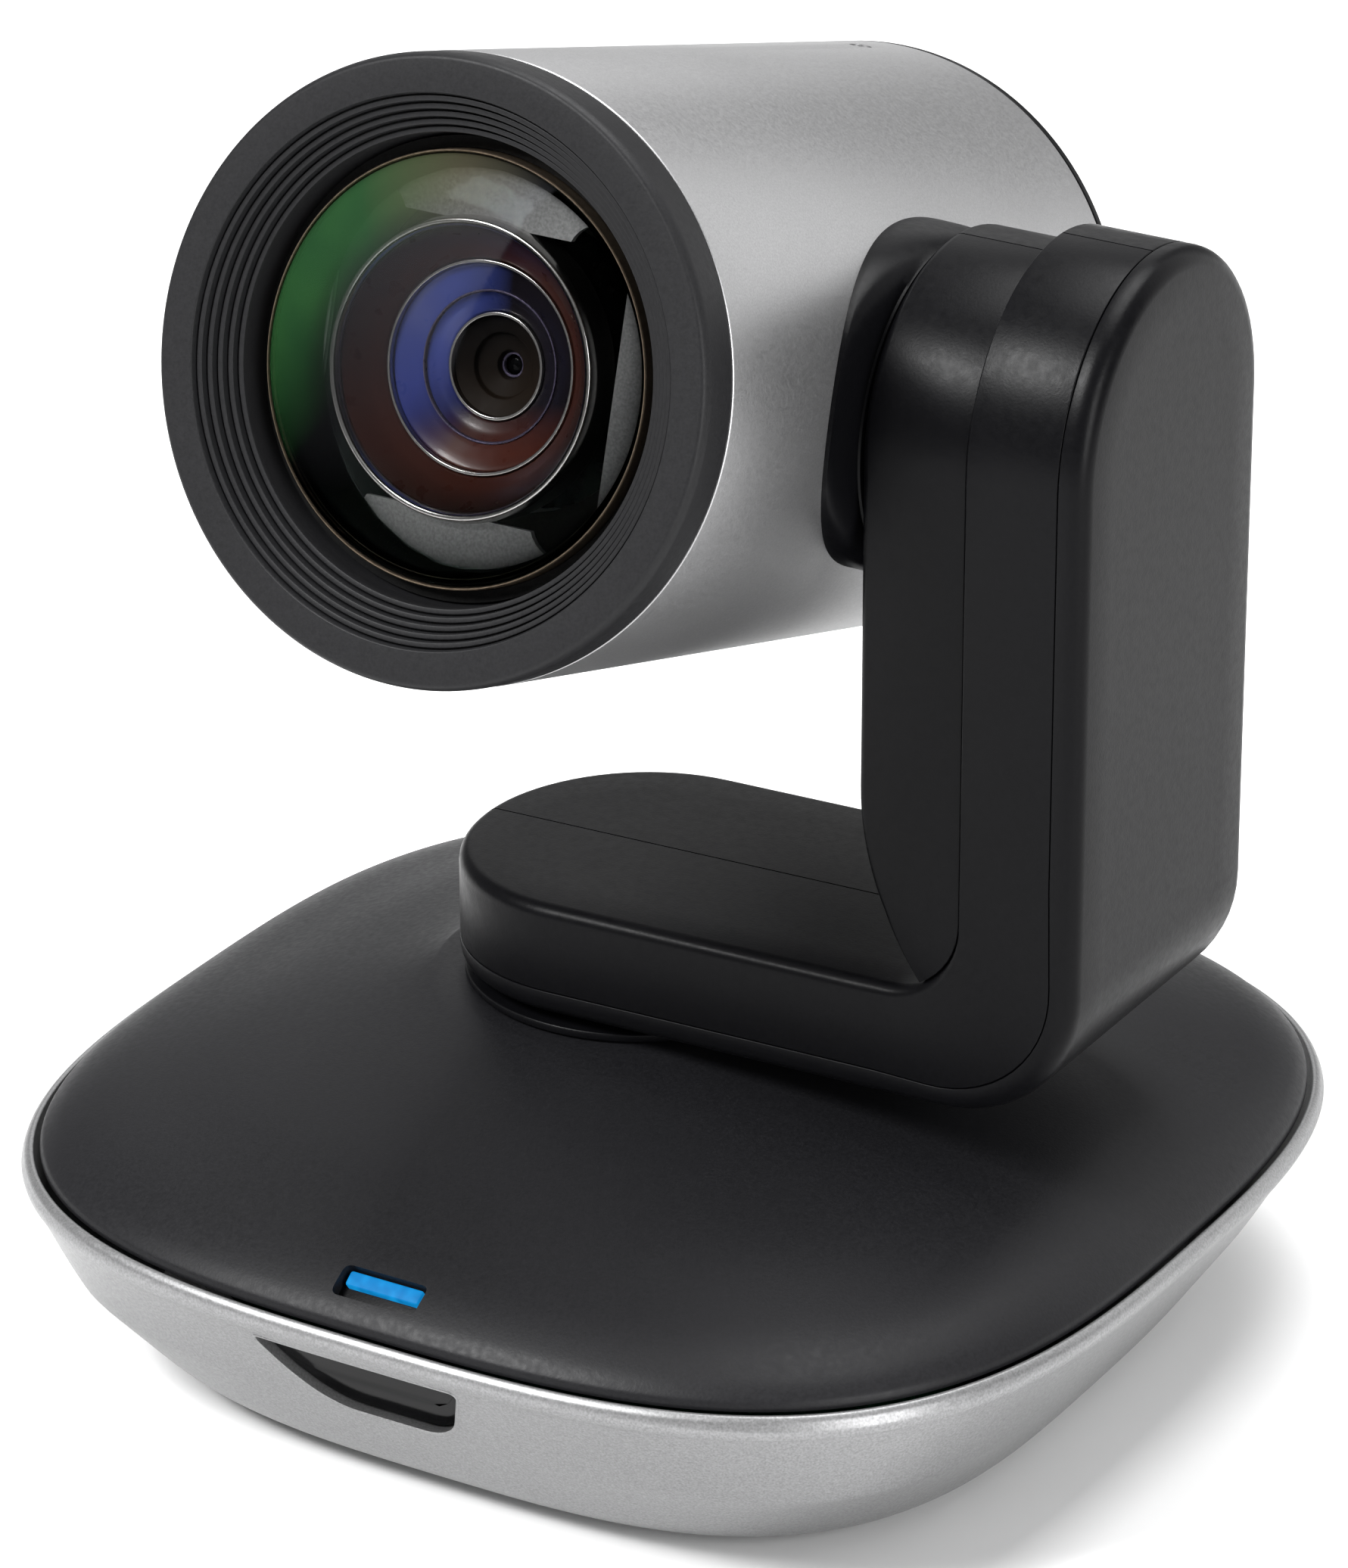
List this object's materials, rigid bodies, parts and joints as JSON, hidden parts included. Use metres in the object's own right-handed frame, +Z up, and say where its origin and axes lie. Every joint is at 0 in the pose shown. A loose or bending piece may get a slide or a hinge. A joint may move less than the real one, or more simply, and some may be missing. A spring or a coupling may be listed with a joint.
{
  "type": "ptz camera",
  "caption": "Desktop pan-tilt-zoom conference camera: a round zoom lens head tilts on an L-shaped arm that pans on a low rounded-square base.",
  "frame": {"origin": "middle of the base's footprint, on the surface the camera stands on", "axes": "+Z up, the lens faces -Y, the arm stands on the +X side"},
  "size_m": [0.13, 0.13, 0.1584],
  "materials": {
    "silver_dish": "fine silver metallic paint",
    "silver_barrel": "satin silver",
    "charcoal": "fine matt grain",
    "black_satin": "fine satin grain",
    "gloss_black": "polished",
    "rubber": "matt",
    "light_blue": "lit light guide",
    "steel": "machined",
    "dark_metal": "dark satin",
    "brass": "machined",
    "gear_plastic": "natural acetal",
    "circuit_board": "solder mask",
    "coated_glass": "polished and coated"
  },
  "bodies": {
    "base": {"base_tray": "silver_dish", "infrared_window": "gloss_black", "base_cover": "charcoal", "status_light": "light_blue", "bottom_plate": "charcoal", "tripod_insert": "brass", "foot_pad_1": "rubber", "foot_pad_2": "rubber", "foot_pad_3": "rubber", "foot_pad_4": "rubber", "base_screw_1": "steel", "base_screw_2": "steel", "base_screw_3": "steel", "base_screw_4": "steel", "ballast_plate": "steel", "main_board": "circuit_board", "pan_motor": "dark_metal", "port_panel": "charcoal", "power_socket": "gloss_black", "usb_socket": "steel", "cable_socket": "gloss_black", "infrared_receiver": "gloss_black", "light_chip": "gear_plastic", "pan_bearing": "steel"},
    "pan_pinion": {"pan_pinion": "brass"},
    "arm": {"turntable": "black_satin", "pan_gear": "gear_plastic", "arm_front_shell": "black_satin", "arm_rear_shell": "black_satin", "arm_outer_cover": "black_satin", "tilt_front_shell": "black_satin", "tilt_rear_shell": "black_satin", "tilt_bearing": "steel", "tilt_motor": "dark_metal"},
    "tilt_pinion": {"tilt_pinion": "brass"},
    "head": {"barrel": "silver_barrel", "front_bezel": "charcoal", "rear_cap": "black_satin", "saddle_plate": "black_satin", "tilt_shaft": "steel", "tilt_gear": "gear_plastic", "top_screw": "dark_metal", "lens_tube": "gloss_black", "glass_ring": "dark_metal", "front_glass": "coated_glass", "lens_mask": "charcoal", "sensor_board": "circuit_board", "image_sensor": "gloss_black"},
    "zoom_group": {"zoom_mount": "dark_metal", "zoom_lens": "coated_glass"},
    "focus_group": {"focus_mount": "dark_metal", "focus_lens": "coated_glass"}
  },
  "joints": [
    {"name": "pan", "type": "hinge", "parent": "base", "child": "arm", "pos_m": [-0.005, 0, 0.0415], "axis": [0, 0, 1], "range_deg": [-130, 130]},
    {"name": "tilt", "type": "hinge", "parent": "arm", "child": "head", "pos_m": [0.034, 0, 0.11375], "axis": [1, 0, 0], "range_deg": [-74, 56]},
    {"name": "pan_pinion_spin", "type": "hinge", "parent": "base", "child": "pan_pinion", "pos_m": [0.01798, 0.01928, 0.024], "axis": [0, 0, 1], "range_deg": [-520, 520]},
    {"name": "tilt_pinion_spin", "type": "hinge", "parent": "arm", "child": "tilt_pinion", "pos_m": [0.04, 0, 0.09455], "axis": [1, 0, 0], "range_deg": [-168, 222]},
    {"name": "zoom", "type": "slide", "parent": "head", "child": "zoom_group", "axis": [0, 0.9613, -0.2756], "range_m": [0, 0.022]},
    {"name": "focus", "type": "slide", "parent": "head", "child": "focus_group", "axis": [0, 0.9613, -0.2756], "range_m": [0, 0.014]}
  ],
  "couplings": [
    {"joint": "pan_pinion_spin", "follows": "pan", "ratio": -4},
    {"joint": "tilt_pinion_spin", "follows": "tilt", "ratio": -3}
  ]
}
